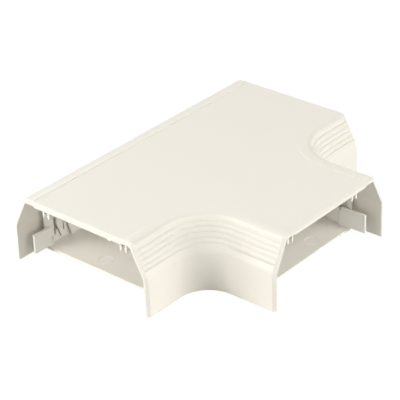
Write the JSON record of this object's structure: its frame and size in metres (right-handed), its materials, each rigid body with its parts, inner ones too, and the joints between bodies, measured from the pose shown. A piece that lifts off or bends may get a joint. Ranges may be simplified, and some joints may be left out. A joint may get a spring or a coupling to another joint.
{
  "type": "trunking tee fitting",
  "caption": "Tee fitting for surface trunking: a cover with sloped, reeded shoulders and open ends, snapped over a tray base, that joins a branch to a straight run.",
  "frame": {"origin": "crossing of the run's and the branch's centrelines on the mounting surface", "axes": "+X along the run, -Y out of the branch, +Z away from the mounting surface"},
  "size_m": [0.203, 0.161, 0.0456],
  "materials": {
    "cover_plastic": "satin ivory moulded plastic",
    "base_plastic": "satin ivory moulded plastic"
  },
  "bodies": {
    "root": {"tee_cover": "cover_plastic", "tee_base": "base_plastic"}
  },
  "joints": []
}
